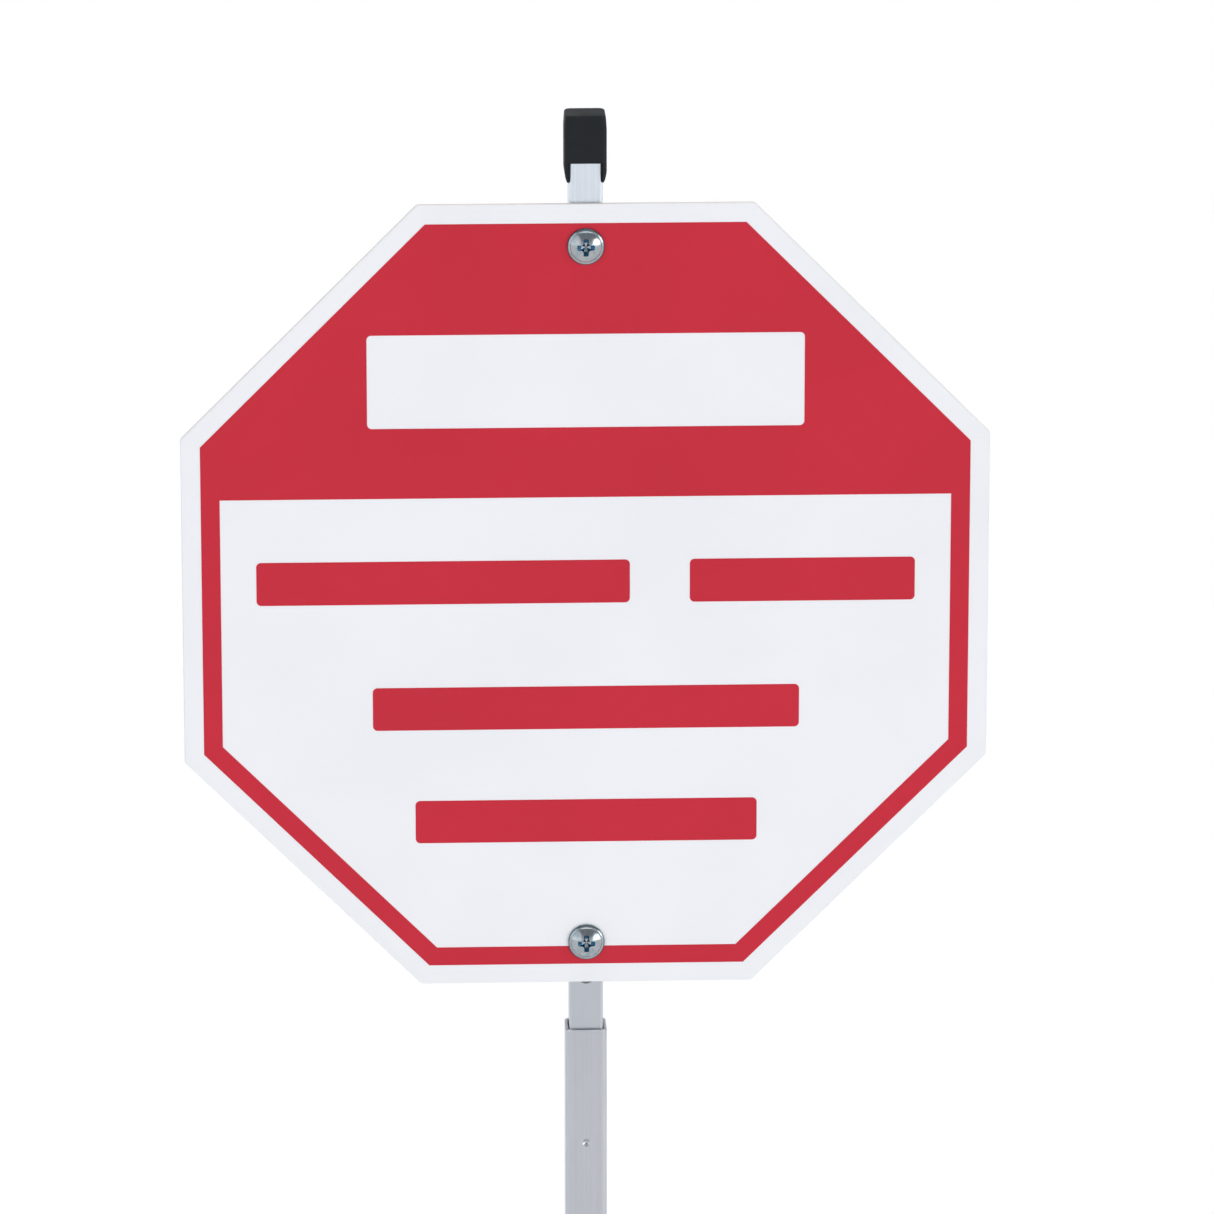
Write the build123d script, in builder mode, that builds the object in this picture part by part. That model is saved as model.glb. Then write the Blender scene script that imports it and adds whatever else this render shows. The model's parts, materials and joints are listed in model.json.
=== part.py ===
"""Push-together ground stake that carries an octagonal sign.

Millimetres, +Z up. The sign faces -Y. The origin is on the stake's axis at ground level: what lies
below it is driven into the soil. The upper tube, with the sign on it, stands in the lower tube.
"""

from build123d import *

import os

# Stake
STAKE_LENGTH = 914.4  # from the point's tip to the top of the driving cap
DRIVEN_DEPTH = 304.8  # part of the stake that is under the ground

# Upper tube, which carries the sign
UPPER_SIDE = 10.7
UPPER_WALL = 1.0
UPPER_CORNER = 1.0
UPPER_BORE_CORNER = 0.4
TUBE_END_BREAK = 0.25  # deburred edge at a cut end

# Lower tube, which is the socket and the leg in the ground
LOWER_WALL = 1.05
SOCKET_CLEARANCE = 0.2  # each side, between the two tubes
MOUTH_BELOW_SIGN = 16.4  # from the sign's lower edge down to the mouth
SOCKET_DEPTH = 37.9  # from the mouth down to the stop dimples
SEAT_GAP = 0.05  # between the upper tube's end and the stop dimples

# Punched dimples, in pairs on the lower tube's front and back walls
DENT_RADIUS = 1.15
DENT_FLOOR_RADIUS = 0.4
DENT_DEPTH = 0.8
BUMP_RADIUS = 1.5
BUMP_HEIGHT = 0.9  # how far a dimple stands into the tube
BUMP_BREAK = 0.3

# Point that is staked into the lower tube's end
POINT_LENGTH = 34.0
POINT_TIP = 2.0
POINT_TIP_CORNER = 0.6
SHANK_LENGTH = 20.0
SHANK_FIT = 0.05  # each side, between the shank and the tube
SHANK_LEAD = 1.0
POCKET_FIT = 0.05  # around a dimple that stands in the shank

# Driving cap
CAP_WALL = 1.2
CAP_FIT = 0.05  # each side, around the upper tube
CAP_ROOF = 2.8
CAP_HEIGHT = 21.6
CAP_FRONT = 15.3  # height of the front wall, above the notch
CAP_NOTCH_LAP = 0.1  # each side, how far the skirts cover the tube's front
CAP_CORNER = 1.5
CAP_TOP_ROUND = 0.9
CAP_RIM = 3.9  # height of the rim that narrows towards the tube
CAP_BELLY = 1.6  # height of the rim's belly
CAP_RIM_WALL = 0.35  # wall left at the lower edge
CAP_BELLY_WALL = 0.9

# Sign plate and the films on its face
SIGN_FLATS = 254.0  # across flats
SIGN_THICKNESS = 1.5
SIGN_CORNER = 2.0
SIGN_BELOW_CAP = 27.9  # from the cap's top down to the sign's upper edge
FILM_MARGIN = 0.3  # from the plate's edge to the white film's
FILM_THICKNESS = 0.12
RED_THICKNESS = 0.08
RED_MARGIN = 6.15  # from the plate's edge to the red border's
BAND_WIDTH = 5.95
HEADER_DROP = 32.9  # from the sign's centre up to the header's lower edge

# Plain bars in place of a legend
BAR_CORNER = 1.5
HEADER_BAR = (137.0, 30.0)  # width, height
HEADER_BAR_RISE = 70.5  # above the sign's centre
LINE_HEIGHT = 14.0
LINES = {5.5: (117.5, 71.0), -35.8: (134.8,), -73.1: (108.3,)}  # rise: bar widths
WORD_GAP = 18.9

# Fasteners
SCREW_INSET = 13.5  # from the plate's edge to a screw's axis
SPARE_PITCH = 11.9  # from the lower screw down to the spare hole
THREAD = 5.0
TUBE_HOLE_FIT = 0.1  # each side, around a screw
SIGN_HOLE_FIT = 0.25
SCREW_PROUD = 1.6  # how far a screw's end stands out of its nut
SCREW_END_BREAK = 0.5
COLLAR = 11.6
COLLAR_HEIGHT = 0.75
COLLAR_BREAK = 0.25
DOME = 9.8
DOME_FLAT = 6.4  # flat around the recess
DOME_SWELL = 3.6  # radius of the dome's flank
HEAD_HEIGHT = 2.9
RECESS_SPAN = 5.4
RECESS_WIDTH = 1.5
RECESS_ROOT = 0.85
RECESS_DEPTH = 1.6
RECESS_DRAFT = 6  # degrees
PIT = 1.8  # across the pit under the cross
PIT_FLOOR = 0.4
PIT_DEPTH = 0.9
WASHER = 10.0
WASHER_HOLE_FIT = 0.15
WASHER_THICKNESS = 1.0
WASHER_BREAK = 0.15
NUT_WALL = 1.5  # from the thread to a flat
NUT_HEX = 3.7
NUT_HEIGHT = 5.0
NUT_BREAK = 0.5
NUT_COLLAR_WALL = 0.5  # around the insert
NUT_COLLAR_ROUND = 0.5
NUT_MOUTH_FIT = 0.4  # each side, from the thread to the rolled edge
INSERT_WALL = 0.7
INSERT_HEIGHT = 0.9
INSERT_FIT = 0.02
THREAD_FIT = 0.02

# Places that follow from these
SOCKET_SIDE = UPPER_SIDE + 2 * SOCKET_CLEARANCE
SOCKET_CORNER = UPPER_CORNER + SOCKET_CLEARANCE
LOWER_SIDE = SOCKET_SIDE + 2 * LOWER_WALL
LOWER_CORNER = SOCKET_CORNER + LOWER_WALL / 2
CAP_TOP = STAKE_LENGTH - DRIVEN_DEPTH
SIGN_Z = CAP_TOP - SIGN_BELOW_CAP - SIGN_FLATS / 2
MOUTH_Z = SIGN_Z - SIGN_FLATS / 2 - MOUTH_BELOW_SIGN
STOP_Z = MOUTH_Z - SOCKET_DEPTH
UPPER_END = STOP_Z + BUMP_RADIUS + SEAT_GAP
SHANK_BASE = POINT_LENGTH - DRIVEN_DEPTH
STAKING_Z = SHANK_BASE + SHANK_LENGTH / 2
SCREW_RISE = SIGN_FLATS / 2 - SCREW_INSET
SCREW_ZS = {"upper": SIGN_Z + SCREW_RISE, "lower": SIGN_Z - SCREW_RISE}
SPARE_Z = SCREW_ZS["lower"] - SPARE_PITCH
PLATE_BACK = UPPER_SIDE / 2  # depths in front of the stake's axis
PLATE_FACE = PLATE_BACK + SIGN_THICKNESS
FILM_FACE = PLATE_FACE + FILM_THICKNESS
SEAT_FACE = FILM_FACE + RED_THICKNESS
NUT_FACE = UPPER_SIDE / 2 + WASHER_THICKNESS  # depths behind it
THREAD_END = NUT_FACE + NUT_HEIGHT + SCREW_PROUD
RED_FLATS = SIGN_FLATS - 2 * RED_MARGIN
NUT_FLATS = THREAD + 2 * NUT_WALL
INSERT = THREAD + 2 * INSERT_WALL

ON_BASE = (Align.CENTER, Align.CENTER, Align.MIN)
ON_LINE = (Align.CENTER, Align.MIN)


def save(piece, name):
    """Labels a finished piece and writes it to its own file."""
    piece.part.label = name
    export_step(piece.part, f"parts/{name}.step")


def dimple_places(z):
    """Front and back places on the lower tube's faces, each with +Z pointing into the tube."""
    reach = LOWER_SIDE / 2
    return [Location((0, -reach, z), (-90, 0, 0)), Location((0, reach, z), (90, 0, 0))]


def dimple_bump(growth):
    """Inner side of one dimple, from the middle of the tube's wall, larger by growth all round."""
    with BuildPart(mode=Mode.PRIVATE) as body:
        with Locations((0, 0, LOWER_WALL / 2)):
            Cylinder(BUMP_RADIUS + growth, LOWER_WALL / 2 + BUMP_HEIGHT + growth, align=ON_BASE)
        chamfer(body.faces().sort_by(Axis.Z)[-1].edges(), BUMP_BREAK)
    return body.part


def make_lower_tube():
    """Square tube with a pair of stop dimples and a pair that holds the point."""
    with BuildPart() as lower_tube:
        with BuildSketch(Plane.XY.offset(SHANK_BASE)):
            RectangleRounded(LOWER_SIDE, LOWER_SIDE, LOWER_CORNER)
            RectangleRounded(SOCKET_SIDE, SOCKET_SIDE, SOCKET_CORNER, mode=Mode.SUBTRACT)
        extrude(amount=MOUTH_Z - SHANK_BASE)
        chamfer(lower_tube.faces().sort_by(Axis.Z)[-1].edges(), TUBE_END_BREAK)
        for z in (STOP_Z, STAKING_Z):
            add([place * dimple_bump(0) for place in dimple_places(z)])
            with Locations(*dimple_places(z)):
                Cone(DENT_RADIUS, DENT_FLOOR_RADIUS, DENT_DEPTH, align=ON_BASE, mode=Mode.SUBTRACT)
    save(lower_tube, "lower_tube")


def make_ground_point():
    """Four-sided point whose shank stands in the lower tube's end."""
    shank_side = SOCKET_SIDE - 2 * SHANK_FIT
    with BuildPart() as ground_point:
        with BuildSketch(Plane.XY.offset(-DRIVEN_DEPTH)):
            RectangleRounded(POINT_TIP, POINT_TIP, POINT_TIP_CORNER)
        with BuildSketch(Plane.XY.offset(SHANK_BASE)):
            RectangleRounded(LOWER_SIDE, LOWER_SIDE, LOWER_CORNER)
        loft()
        with BuildSketch(Plane.XY.offset(SHANK_BASE)):
            RectangleRounded(shank_side, shank_side, SOCKET_CORNER)
        extrude(amount=SHANK_LENGTH)
        chamfer(ground_point.faces().sort_by(Axis.Z)[-1].edges(), SHANK_LEAD)
        pockets = [place * dimple_bump(POCKET_FIT) for place in dimple_places(STAKING_Z)]
        add(pockets, mode=Mode.SUBTRACT)
    save(ground_point, "ground_point")


def make_upper_tube():
    """Square tube with cross holes for the two sign screws and a spare one below them."""
    bore = UPPER_SIDE - 2 * UPPER_WALL
    with BuildPart() as upper_tube:
        with BuildSketch(Plane.XY.offset(UPPER_END)):
            RectangleRounded(UPPER_SIDE, UPPER_SIDE, UPPER_CORNER)
            RectangleRounded(bore, bore, UPPER_BORE_CORNER, mode=Mode.SUBTRACT)
        extrude(amount=CAP_TOP - CAP_ROOF - UPPER_END)
        chamfer(upper_tube.faces().filter_by(Axis.Z).edges(), TUBE_END_BREAK)
        with BuildSketch(Plane.XZ.offset(UPPER_SIDE / 2)):
            with Locations(*[(0, z) for z in (*SCREW_ZS.values(), SPARE_Z)]):
                Circle(THREAD / 2 + TUBE_HOLE_FIT)
        extrude(amount=-UPPER_SIDE, mode=Mode.SUBTRACT)
    save(upper_tube, "upper_tube")


def make_driving_cap():
    """Soft cap over the upper tube's end, with a notch in front and a rim that narrows."""
    cavity = UPPER_SIDE + 2 * CAP_FIT
    side = cavity + 2 * CAP_WALL
    bottom = CAP_TOP - CAP_HEIGHT
    rim = {0: CAP_RIM_WALL, CAP_BELLY: CAP_BELLY_WALL, CAP_RIM: CAP_WALL}
    with BuildPart() as driving_cap:
        for height, wall in rim.items():
            with BuildSketch(Plane.XY.offset(bottom + height)):
                RectangleRounded(cavity + 2 * wall, cavity + 2 * wall, UPPER_CORNER)
        loft()
        with BuildSketch(Plane.XY.offset(bottom + CAP_RIM)):
            RectangleRounded(side, side, UPPER_CORNER)
        extrude(amount=CAP_HEIGHT - CAP_RIM)
        fillet(driving_cap.faces().sort_by(Axis.Z)[-1].edges(), CAP_TOP_ROUND)
        with BuildSketch(Plane.XY.offset(bottom)):
            RectangleRounded(cavity, cavity, UPPER_CORNER)
        extrude(amount=CAP_HEIGHT - CAP_ROOF, mode=Mode.SUBTRACT)
        with BuildSketch(Plane.XZ):
            with Locations((0, bottom)):
                notch = UPPER_SIDE - 2 * CAP_NOTCH_LAP
                Rectangle(notch, CAP_HEIGHT - CAP_FRONT, align=ON_LINE)
        extrude(amount=side, mode=Mode.SUBTRACT)
    save(driving_cap, "driving_cap")


def octagon(flats):
    """Adds an octagon that stands on one of its sides, centred on the sign."""
    with Locations((0, SIGN_Z)):
        RegularPolygon(flats / 2, 8, major_radius=False, rotation=180 / 8)


def screw_holes():
    """Cuts the two sign screws' holes in a sketch on the sign's face."""
    with Locations(*[(0, z) for z in SCREW_ZS.values()]):
        Circle(THREAD / 2 + SIGN_HOLE_FIT, mode=Mode.SUBTRACT)


def make_sign_sheet(name, back, thickness, flats):
    """Octagonal sheet with rounded corners and two screw holes."""
    with BuildPart() as sheet:
        with BuildSketch(Plane.XZ.offset(back)) as outline:
            octagon(flats)
            fillet(outline.vertices(), SIGN_CORNER)
            screw_holes()
        extrude(amount=thickness)
    save(sheet, name)


def make_red_border():
    """Red film on the white one: header and border band in one piece."""
    with BuildPart() as red_border:
        with BuildSketch(Plane.XZ.offset(FILM_FACE)):
            octagon(RED_FLATS)
            with BuildSketch(Plane.XY, mode=Mode.SUBTRACT):
                octagon(RED_FLATS - 2 * BAND_WIDTH)
                with Locations((0, SIGN_Z + HEADER_DROP)):
                    Rectangle(RED_FLATS, RED_FLATS, align=ON_LINE, mode=Mode.SUBTRACT)
            with Locations((0, SIGN_Z + HEADER_BAR_RISE)):
                RectangleRounded(*HEADER_BAR, BAR_CORNER, mode=Mode.SUBTRACT)
            screw_holes()
        extrude(amount=RED_THICKNESS)
    save(red_border, "red_border")


def make_legend_bars():
    """Red film bars below the header, one for each word."""
    with BuildPart() as legend_bars:
        with BuildSketch(Plane.XZ.offset(FILM_FACE)):
            for rise, widths in LINES.items():
                left = -(sum(widths) + WORD_GAP * (len(widths) - 1)) / 2
                for width in widths:
                    with Locations((left + width / 2, SIGN_Z + rise)):
                        RectangleRounded(width, LINE_HEIGHT, BAR_CORNER)
                    left += width + WORD_GAP
        extrude(amount=RED_THICKNESS)
    save(legend_bars, "legend_bars")


def make_screw(name, z):
    """Machine screw with a collar head, a domed top and a cross recess."""
    collar_top = SEAT_FACE + COLLAR_HEIGHT
    head_top = SEAT_FACE + HEAD_HEIGHT
    with BuildPart() as screw:
        with BuildSketch(Plane.XY.offset(z)):
            with BuildLine():
                Polyline(
                    (DOME_FLAT / 2, -head_top),
                    (0, -head_top),
                    (0, THREAD_END),
                    (THREAD / 2 - SCREW_END_BREAK, THREAD_END),
                    (THREAD / 2, THREAD_END - SCREW_END_BREAK),
                    (THREAD / 2, -SEAT_FACE),
                    (COLLAR / 2, -SEAT_FACE),
                    (COLLAR / 2, COLLAR_BREAK - collar_top),
                    (COLLAR / 2 - COLLAR_BREAK, -collar_top),
                    (DOME / 2, -collar_top),
                )
                RadiusArc((DOME / 2, -collar_top), (DOME_FLAT / 2, -head_top), DOME_SWELL)
            make_face()
        revolve(axis=Axis((0, 0, z), (0, 1, 0)))
        with BuildSketch(Plane.XZ.offset(head_top)) as cross:
            with Locations((0, z)):
                Rectangle(RECESS_SPAN, RECESS_WIDTH)
                Rectangle(RECESS_WIDTH, RECESS_SPAN)
            roots = cross.vertices().sort_by_distance((0, z, 0))[:4]
            fillet(roots, RECESS_ROOT)
        extrude(amount=-RECESS_DEPTH, taper=RECESS_DRAFT, mode=Mode.SUBTRACT)
        for depth, across in ((0, PIT), (PIT_DEPTH, PIT_FLOOR)):
            with BuildSketch(Plane.XZ.offset(head_top - RECESS_DEPTH - depth)):
                with Locations((0, z)):
                    Rectangle(across, across)
        loft(mode=Mode.SUBTRACT)
    save(screw, name)


def make_washer(name, z):
    """Flat washer behind the upper tube."""
    with BuildPart() as washer:
        with BuildSketch(Plane.XZ.offset(-NUT_FACE)):
            with Locations((0, z)):
                Circle(WASHER / 2)
                Circle(THREAD / 2 + WASHER_HOLE_FIT, mode=Mode.SUBTRACT)
        extrude(amount=WASHER_THICKNESS)
        chamfer(washer.edges().group_by(SortBy.LENGTH)[-1], WASHER_BREAK)
    save(washer, name)


def make_lock_nut(name, z):
    """Hexagon nut with a round collar that is rolled in over a nylon insert."""
    hex_top = NUT_FACE + NUT_HEX
    top = NUT_FACE + NUT_HEIGHT
    bores = ((NUT_FACE, THREAD_FIT), (hex_top + INSERT_HEIGHT, NUT_MOUTH_FIT))
    with BuildPart() as nut:
        with BuildSketch(Plane.XZ.offset(-NUT_FACE)):
            with Locations((0, z)):
                RegularPolygon(NUT_FLATS / 2, 6, major_radius=False)
        extrude(amount=-NUT_HEX)
        with BuildSketch(Plane.XY.offset(z)):
            with BuildLine():
                Polyline(
                    (0, NUT_FACE),
                    (NUT_FLATS / 2, NUT_FACE),
                    (NUT_FLATS / 2 + 2 * NUT_BREAK, NUT_FACE + NUT_BREAK),
                    (NUT_FLATS / 2 + 2 * NUT_BREAK, hex_top - NUT_BREAK),
                    (NUT_FLATS / 2, hex_top),
                    (0, hex_top),
                    close=True,
                )
            make_face()
        revolve(axis=Axis((0, 0, z), (0, 1, 0)), mode=Mode.INTERSECT)
        with BuildSketch(Plane.XZ.offset(-hex_top)):
            with Locations((0, z)):
                Circle(INSERT / 2 + NUT_COLLAR_WALL)
        extrude(amount=hex_top - top)
        fillet(nut.faces().sort_by(Axis.Y)[-1].edges(), NUT_COLLAR_ROUND)
        for start, fit in bores:
            with BuildSketch(Plane.XZ.offset(-start)):
                with Locations((0, z)):
                    Circle(THREAD / 2 + fit)
            extrude(amount=start - top, mode=Mode.SUBTRACT)
        with BuildSketch(Plane.XZ.offset(-hex_top)):
            with Locations((0, z)):
                Circle(INSERT / 2 + INSERT_FIT)
        extrude(amount=-INSERT_HEIGHT - INSERT_FIT, mode=Mode.SUBTRACT)
    save(nut, name)


def make_nut_insert(name, z):
    """Nylon ring under the lock nut's rolled edge."""
    with BuildPart() as insert:
        with BuildSketch(Plane.XZ.offset(-NUT_FACE - NUT_HEX)):
            with Locations((0, z)):
                Circle(INSERT / 2)
                Circle(THREAD / 2 + THREAD_FIT, mode=Mode.SUBTRACT)
        extrude(amount=-INSERT_HEIGHT)
    save(insert, name)


if __name__ == "__main__":
    os.makedirs("parts", exist_ok=True)
    make_lower_tube()
    make_ground_point()
    make_upper_tube()
    make_driving_cap()
    make_sign_sheet("sign_plate", PLATE_BACK, SIGN_THICKNESS, SIGN_FLATS)
    make_sign_sheet("white_film", PLATE_FACE, FILM_THICKNESS, SIGN_FLATS - 2 * FILM_MARGIN)
    make_red_border()
    make_legend_bars()
    for place, height in SCREW_ZS.items():
        make_screw(f"{place}_sign_screw", height)
        make_washer(f"{place}_washer", height)
        make_lock_nut(f"{place}_lock_nut", height)
        make_nut_insert(f"{place}_nut_insert", height)
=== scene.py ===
"""Octagonal sign on a push-together ground stake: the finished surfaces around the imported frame.

Sizes in the classes are in millimetres, and places come from the frame. The row frame is in metres,
with +Z up the stake and the sign facing -Y.
"""

import json
import logging
import math
from collections.abc import Iterable, Sequence
from dataclasses import dataclass, field
from enum import Enum, IntEnum
from typing import ClassVar

import bmesh
import bpy
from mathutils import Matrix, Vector

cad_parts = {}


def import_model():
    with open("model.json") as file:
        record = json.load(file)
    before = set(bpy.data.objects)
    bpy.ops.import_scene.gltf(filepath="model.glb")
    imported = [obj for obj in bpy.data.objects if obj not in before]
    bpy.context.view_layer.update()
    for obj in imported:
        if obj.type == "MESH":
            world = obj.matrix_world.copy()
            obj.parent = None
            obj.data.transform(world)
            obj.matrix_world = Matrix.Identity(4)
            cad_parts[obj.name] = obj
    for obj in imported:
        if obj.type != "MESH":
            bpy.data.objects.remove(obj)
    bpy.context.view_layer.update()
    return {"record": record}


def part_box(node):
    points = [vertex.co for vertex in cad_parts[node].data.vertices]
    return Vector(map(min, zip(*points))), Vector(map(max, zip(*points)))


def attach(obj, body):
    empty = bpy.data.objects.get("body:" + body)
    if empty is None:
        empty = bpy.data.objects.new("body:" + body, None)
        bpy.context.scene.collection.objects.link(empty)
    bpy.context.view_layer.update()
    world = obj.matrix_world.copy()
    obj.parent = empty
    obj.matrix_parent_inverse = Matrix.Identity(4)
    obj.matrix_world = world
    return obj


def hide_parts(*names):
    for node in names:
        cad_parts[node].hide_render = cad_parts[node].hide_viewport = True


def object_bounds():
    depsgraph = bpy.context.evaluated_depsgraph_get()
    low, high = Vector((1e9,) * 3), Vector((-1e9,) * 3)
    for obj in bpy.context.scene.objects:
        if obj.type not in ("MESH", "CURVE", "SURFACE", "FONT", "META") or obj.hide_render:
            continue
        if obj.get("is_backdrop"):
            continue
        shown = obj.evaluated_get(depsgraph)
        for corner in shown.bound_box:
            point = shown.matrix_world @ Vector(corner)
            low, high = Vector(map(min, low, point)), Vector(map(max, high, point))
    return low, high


LOG = logging.getLogger("signpost")
MM = 0.001
CORNER_STEPS = 6  # straight pieces in a rounded corner
ROUND_STEPS = 48  # straight pieces round a turned solid
OVERSHOOT = 1.0  # how far a cutting tool runs past what it cuts
SLIVER = 0.02  # keeps a tool's ring off its axis, or off the face that it cuts

Settings = dict[str | int, object]
Span = tuple[float, float]
Triple = tuple[float, float, float]
Steps = tuple[Span, ...]
Flat = list[Span]
Ring = list[Vector]
Piece = bpy.types.Object
Material = bpy.types.Material
Node = bpy.types.Node
Socket = bpy.types.NodeSocket


class Body(Enum):
    """The two halves of the stake, which slide apart."""

    LEG = "leg"
    UPPER = "upper_part"


class ScrewSkin(IntEnum):
    """A screw's material numbers."""

    ZINC = 0
    RECESS = 1
    RIM = 2


# ---- meshes


def rounded_outline(corners: Flat, radius: float) -> Flat:
    """Rounds the corners of a convex outline.

    Args:
        corners: the sharp corners, anticlockwise.
        radius: the corners' radius.

    Returns:
        The rounded outline, anticlockwise, with CORNER_STEPS + 1 points for each corner.
    """
    outline: Flat = []
    for index, corner in enumerate(corners):
        here = Vector(corner)
        before = (Vector(corners[index - 1]) - here).normalized()
        after = (Vector(corners[(index + 1) % len(corners)]) - here).normalized()
        half = before.angle(after) / 2
        centre = here + (before + after).normalized() * radius / math.sin(half)
        start = here + before * radius / math.tan(half) - centre
        for step in range(CORNER_STEPS + 1):
            angle = (math.pi - 2 * half) * step / CORNER_STEPS
            cos, sin = math.cos(angle), math.sin(angle)
            x = centre.x + start.x * cos - start.y * sin
            y = centre.y + start.x * sin + start.y * cos
            outline.append((x, y))
    return outline


def square_outline(side: float, radius: float) -> Flat:
    """Gives a rounded square about the origin, from its width across flats and its corner radius."""
    half = side / 2
    return rounded_outline([(half, -half), (half, half), (-half, half), (-half, -half)], radius)


def octagon_outline(flats: float, radius: float) -> Flat:
    """Gives a rounded octagon that stands on a side, from its width across flats and its corner radius."""
    turns = [math.pi / 8 + math.pi / 4 * index for index in range(8)]
    return rounded_outline(circle(flats / 2 / math.cos(math.pi / 8), turns), radius)


def circle(radius: float, turns: Sequence[float]) -> Flat:
    """Gives a circle's points at some angles."""
    return [(radius * math.cos(turn), radius * math.sin(turn)) for turn in turns]


def level_ring(outline: Flat, height: float) -> Ring:
    """Lays an outline in millimetres flat at a height in metres."""
    return [Vector((x * MM, y * MM, height)) for x, y in outline]


def facing_ring(outline: Flat, depth: float, centre_height: float) -> Ring:
    """Stands an outline in millimetres up to face the front, at a depth and about a height in metres."""
    return [Vector((x * MM, depth, centre_height + z * MM)) for x, z in outline]


def link_mesh(name: str, mesh: bmesh.types.BMesh) -> Piece:
    """Turns mesh data into an object with outward faces.

    Args:
        name: the object's name.
        mesh: the mesh data, which is freed.

    Returns:
        The new object.
    """
    bmesh.ops.recalc_face_normals(mesh, faces=mesh.faces[:])
    data = bpy.data.meshes.new(name)
    mesh.to_mesh(data)
    mesh.free()
    piece = bpy.data.objects.new(name, data)
    bpy.context.scene.collection.objects.link(piece)
    return piece


def loft(name: str, rings: Sequence[Ring], hollow: bool = False) -> Piece:
    """Skins a row of rings that have the same number of points.

    Args:
        name: the object's name.
        rings: the rings in order.
        hollow: joins the last ring to the first, and otherwise closes both ends.

    Returns:
        The closed mesh as an object.
    """
    mesh = bmesh.new()
    rows = [[mesh.verts.new(point) for point in ring] for ring in rings]
    count = len(rows[0])
    pairs = list(zip(rows, rows[1:]))
    if hollow:
        pairs.append((rows[-1], rows[0]))
    else:
        mesh.faces.new(rows[0])
        mesh.faces.new(rows[-1])
    for lower, upper in pairs:
        for i in range(count):
            j = (i + 1) % count
            mesh.faces.new((lower[i], lower[j], upper[j], upper[i]))
    return link_mesh(name, mesh)


def square_rings(stations: Iterable[Triple]) -> list[Ring]:
    """Gives level rounded squares from their width, their corner radius and their height in metres."""
    return [level_ring(square_outline(width, radius), height) for width, radius, height in stations]


def lathe(name: str, profile: Flat, height: float, side: int = 1) -> Piece:
    """Turns a profile into a closed round solid, about an axis from front to back.

    Args:
        name: the object's name.
        profile: radius and depth, both ends at a radius above zero.
        height: the axis's height in metres.
        side: 1 where the depth runs toward the back, and -1 where it runs toward the front.

    Returns:
        The solid as an object.
    """
    turns = [2 * math.pi * index / ROUND_STEPS for index in range(ROUND_STEPS)]
    rings = [facing_ring(circle(radius, turns), side * depth * MM, height) for radius, depth in profile]
    return loft(name, rings)


def apply_modifiers(piece: Piece) -> None:
    """Replaces a piece's mesh by what its modifiers make of it.

    Args:
        piece: the piece to change.
    """
    graph = bpy.context.evaluated_depsgraph_get()
    made = bpy.data.meshes.new_from_object(piece.evaluated_get(graph))
    piece.modifiers.clear()
    old = piece.data
    piece.data = made
    made.name = piece.name
    bpy.data.meshes.remove(old)


def combine(piece: Piece, tools: Iterable[Piece], operation: str) -> None:
    """Cuts tools out of a piece, or welds them to it, and removes the tools.

    Args:
        piece: the piece to change.
        tools: closed solids, used one after the other.
        operation: DIFFERENCE or UNION.
    """
    for tool in tools:
        step = piece.modifiers.new("combine", "BOOLEAN")
        step.object = tool
        step.operation = operation
        step.solver = "EXACT"
        apply_modifiers(piece)
        bpy.data.objects.remove(tool)


def drill(piece: Piece, node: str, heights: Iterable[float], radius: float, flare: float = 0.0) -> None:
    """Drills a piece from front to back, with a countersink at each face.

    Args:
        piece: the piece to drill.
        node: the frame node whose box gives the depths of its two faces.
        heights: the holes' heights in metres.
        radius: the holes' radius.
        flare: the countersinks' width and depth.
    """
    low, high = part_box(node)
    front, back = low.y / MM, high.y / MM
    before, behind = front - OVERSHOOT, back + OVERSHOOT
    profile = [(radius, before), (radius, behind)]
    if flare:
        wide = radius + flare + OVERSHOOT
        profile = [(wide, before), (radius, front + flare), (radius, back - flare), (wide, behind)]
    combine(piece, [lathe("drill", profile, height) for height in heights], "DIFFERENCE")


def round_edges(piece: Piece, radius: float, steps: int, sharper_than: float) -> None:
    """Rounds every edge that is sharper than an angle.

    Args:
        piece: the piece to change.
        radius: width of the rounding.
        steps: straight pieces across the rounding.
        sharper_than: smallest angle between two faces that is rounded, in degrees.
    """
    step = piece.modifiers.new("round", "BEVEL")
    step.width = radius * MM
    step.segments = steps
    step.limit_method = "ANGLE"
    step.angle_limit = math.radians(sharper_than)
    step.use_clamp_overlap = True
    apply_modifiers(piece)


def smooth(piece: Piece, crease: float = 30) -> None:
    """Shades a piece smooth, and keeps its wide faces flat.

    Args:
        piece: the piece to shade.
        crease: edges sharper than this angle in degrees stay sharp.
    """
    piece.data.shade_smooth()
    piece.data.set_sharp_from_angle(angle=math.radians(crease))
    step = piece.modifiers.new("flat_faces_lead", "WEIGHTED_NORMAL")
    step.mode = "FACE_AREA"
    step.weight = 100
    step.keep_sharp = True
    apply_modifiers(piece)


def fit_out(piece: Piece, body: Body, node: str, finishes: Sequence[Material]) -> None:
    """Gives a new piece its finish and its body, and hides the frame node that it stands for.

    Args:
        piece: the finished mesh.
        body: the half of the stake that it rides on.
        node: the frame node that it replaces.
        finishes: the materials, in the order of the mesh's material numbers.
    """
    for finish in finishes:
        piece.data.materials.append(finish)
    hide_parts(node)
    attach(piece, body.value)
    LOG.info("%s: %d faces, rides on %s", piece.name, len(piece.data.polygons), body.value)


def dress_node(node: str, finish: Material) -> None:
    """Gives a frame node that is shown as it is a finish.

    Args:
        node: the node's name.
        finish: its material.
    """
    for place in bpy.data.objects[node].material_slots:
        place.material = finish
    LOG.info("%s: the frame's own shape, finish %s", node, finish.name)


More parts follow.
